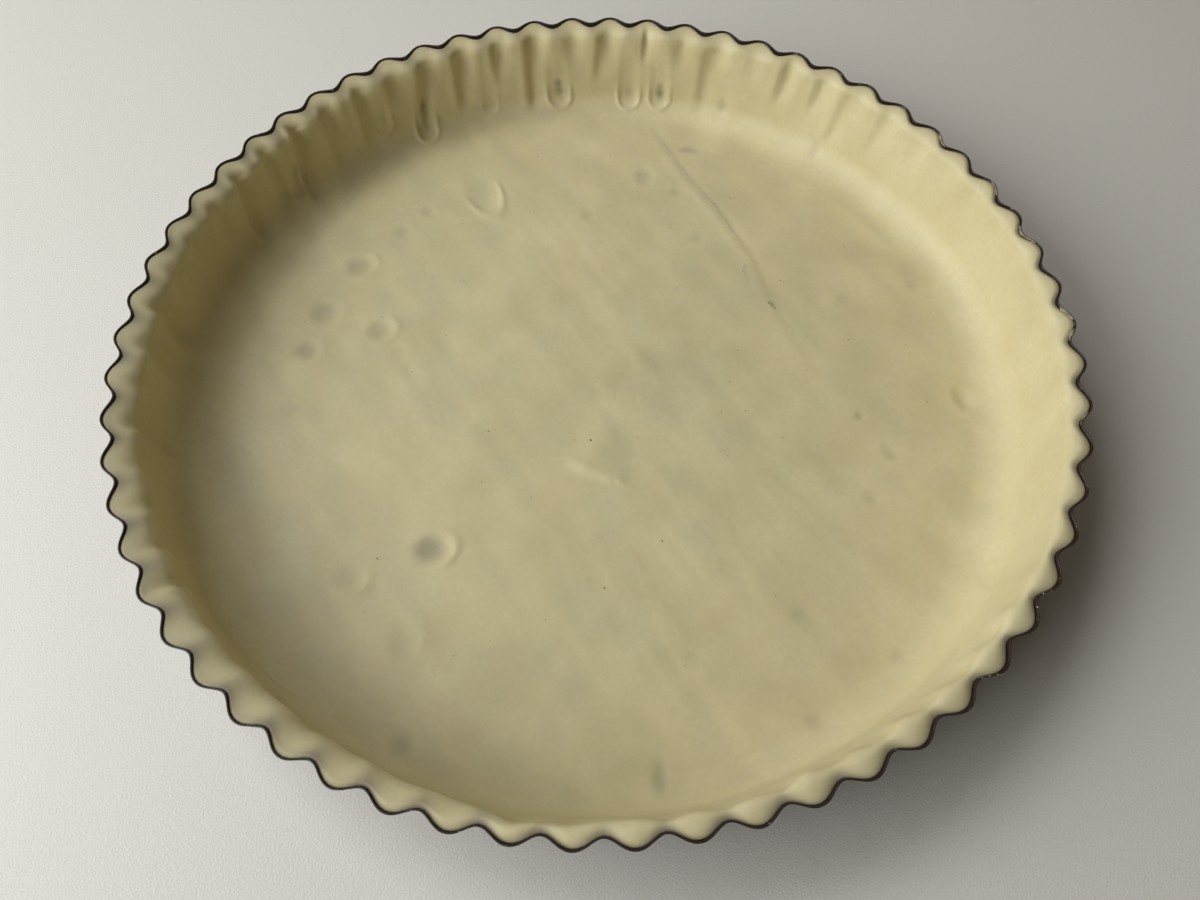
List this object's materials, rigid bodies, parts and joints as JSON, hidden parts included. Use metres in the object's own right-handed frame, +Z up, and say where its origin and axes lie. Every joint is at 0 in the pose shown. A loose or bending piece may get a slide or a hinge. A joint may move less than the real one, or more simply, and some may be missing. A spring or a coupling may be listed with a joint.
{
  "type": "unbaked quiche case in a fluted tin",
  "caption": "Raw shortcrust pastry case pressed into a round fluted metal quiche tin, empty and open for a filling.",
  "frame": {"origin": "middle of the tin's underside, on the surface that it stands on", "axes": "+Z up along the tin's axis; +X through the tip of one flute"},
  "size_m": [0.283, 0.2826, 0.0352],
  "materials": {
    "tin": "dark brown non-stick coating, satin, worn to small glints at the rim",
    "pastry": "raw shortcrust dough, pale cream yellow, soft satin with a buttery translucence"
  },
  "bodies": {
    "root": {"quiche_tin": "tin", "pastry_case": "pastry"}
  },
  "joints": []
}
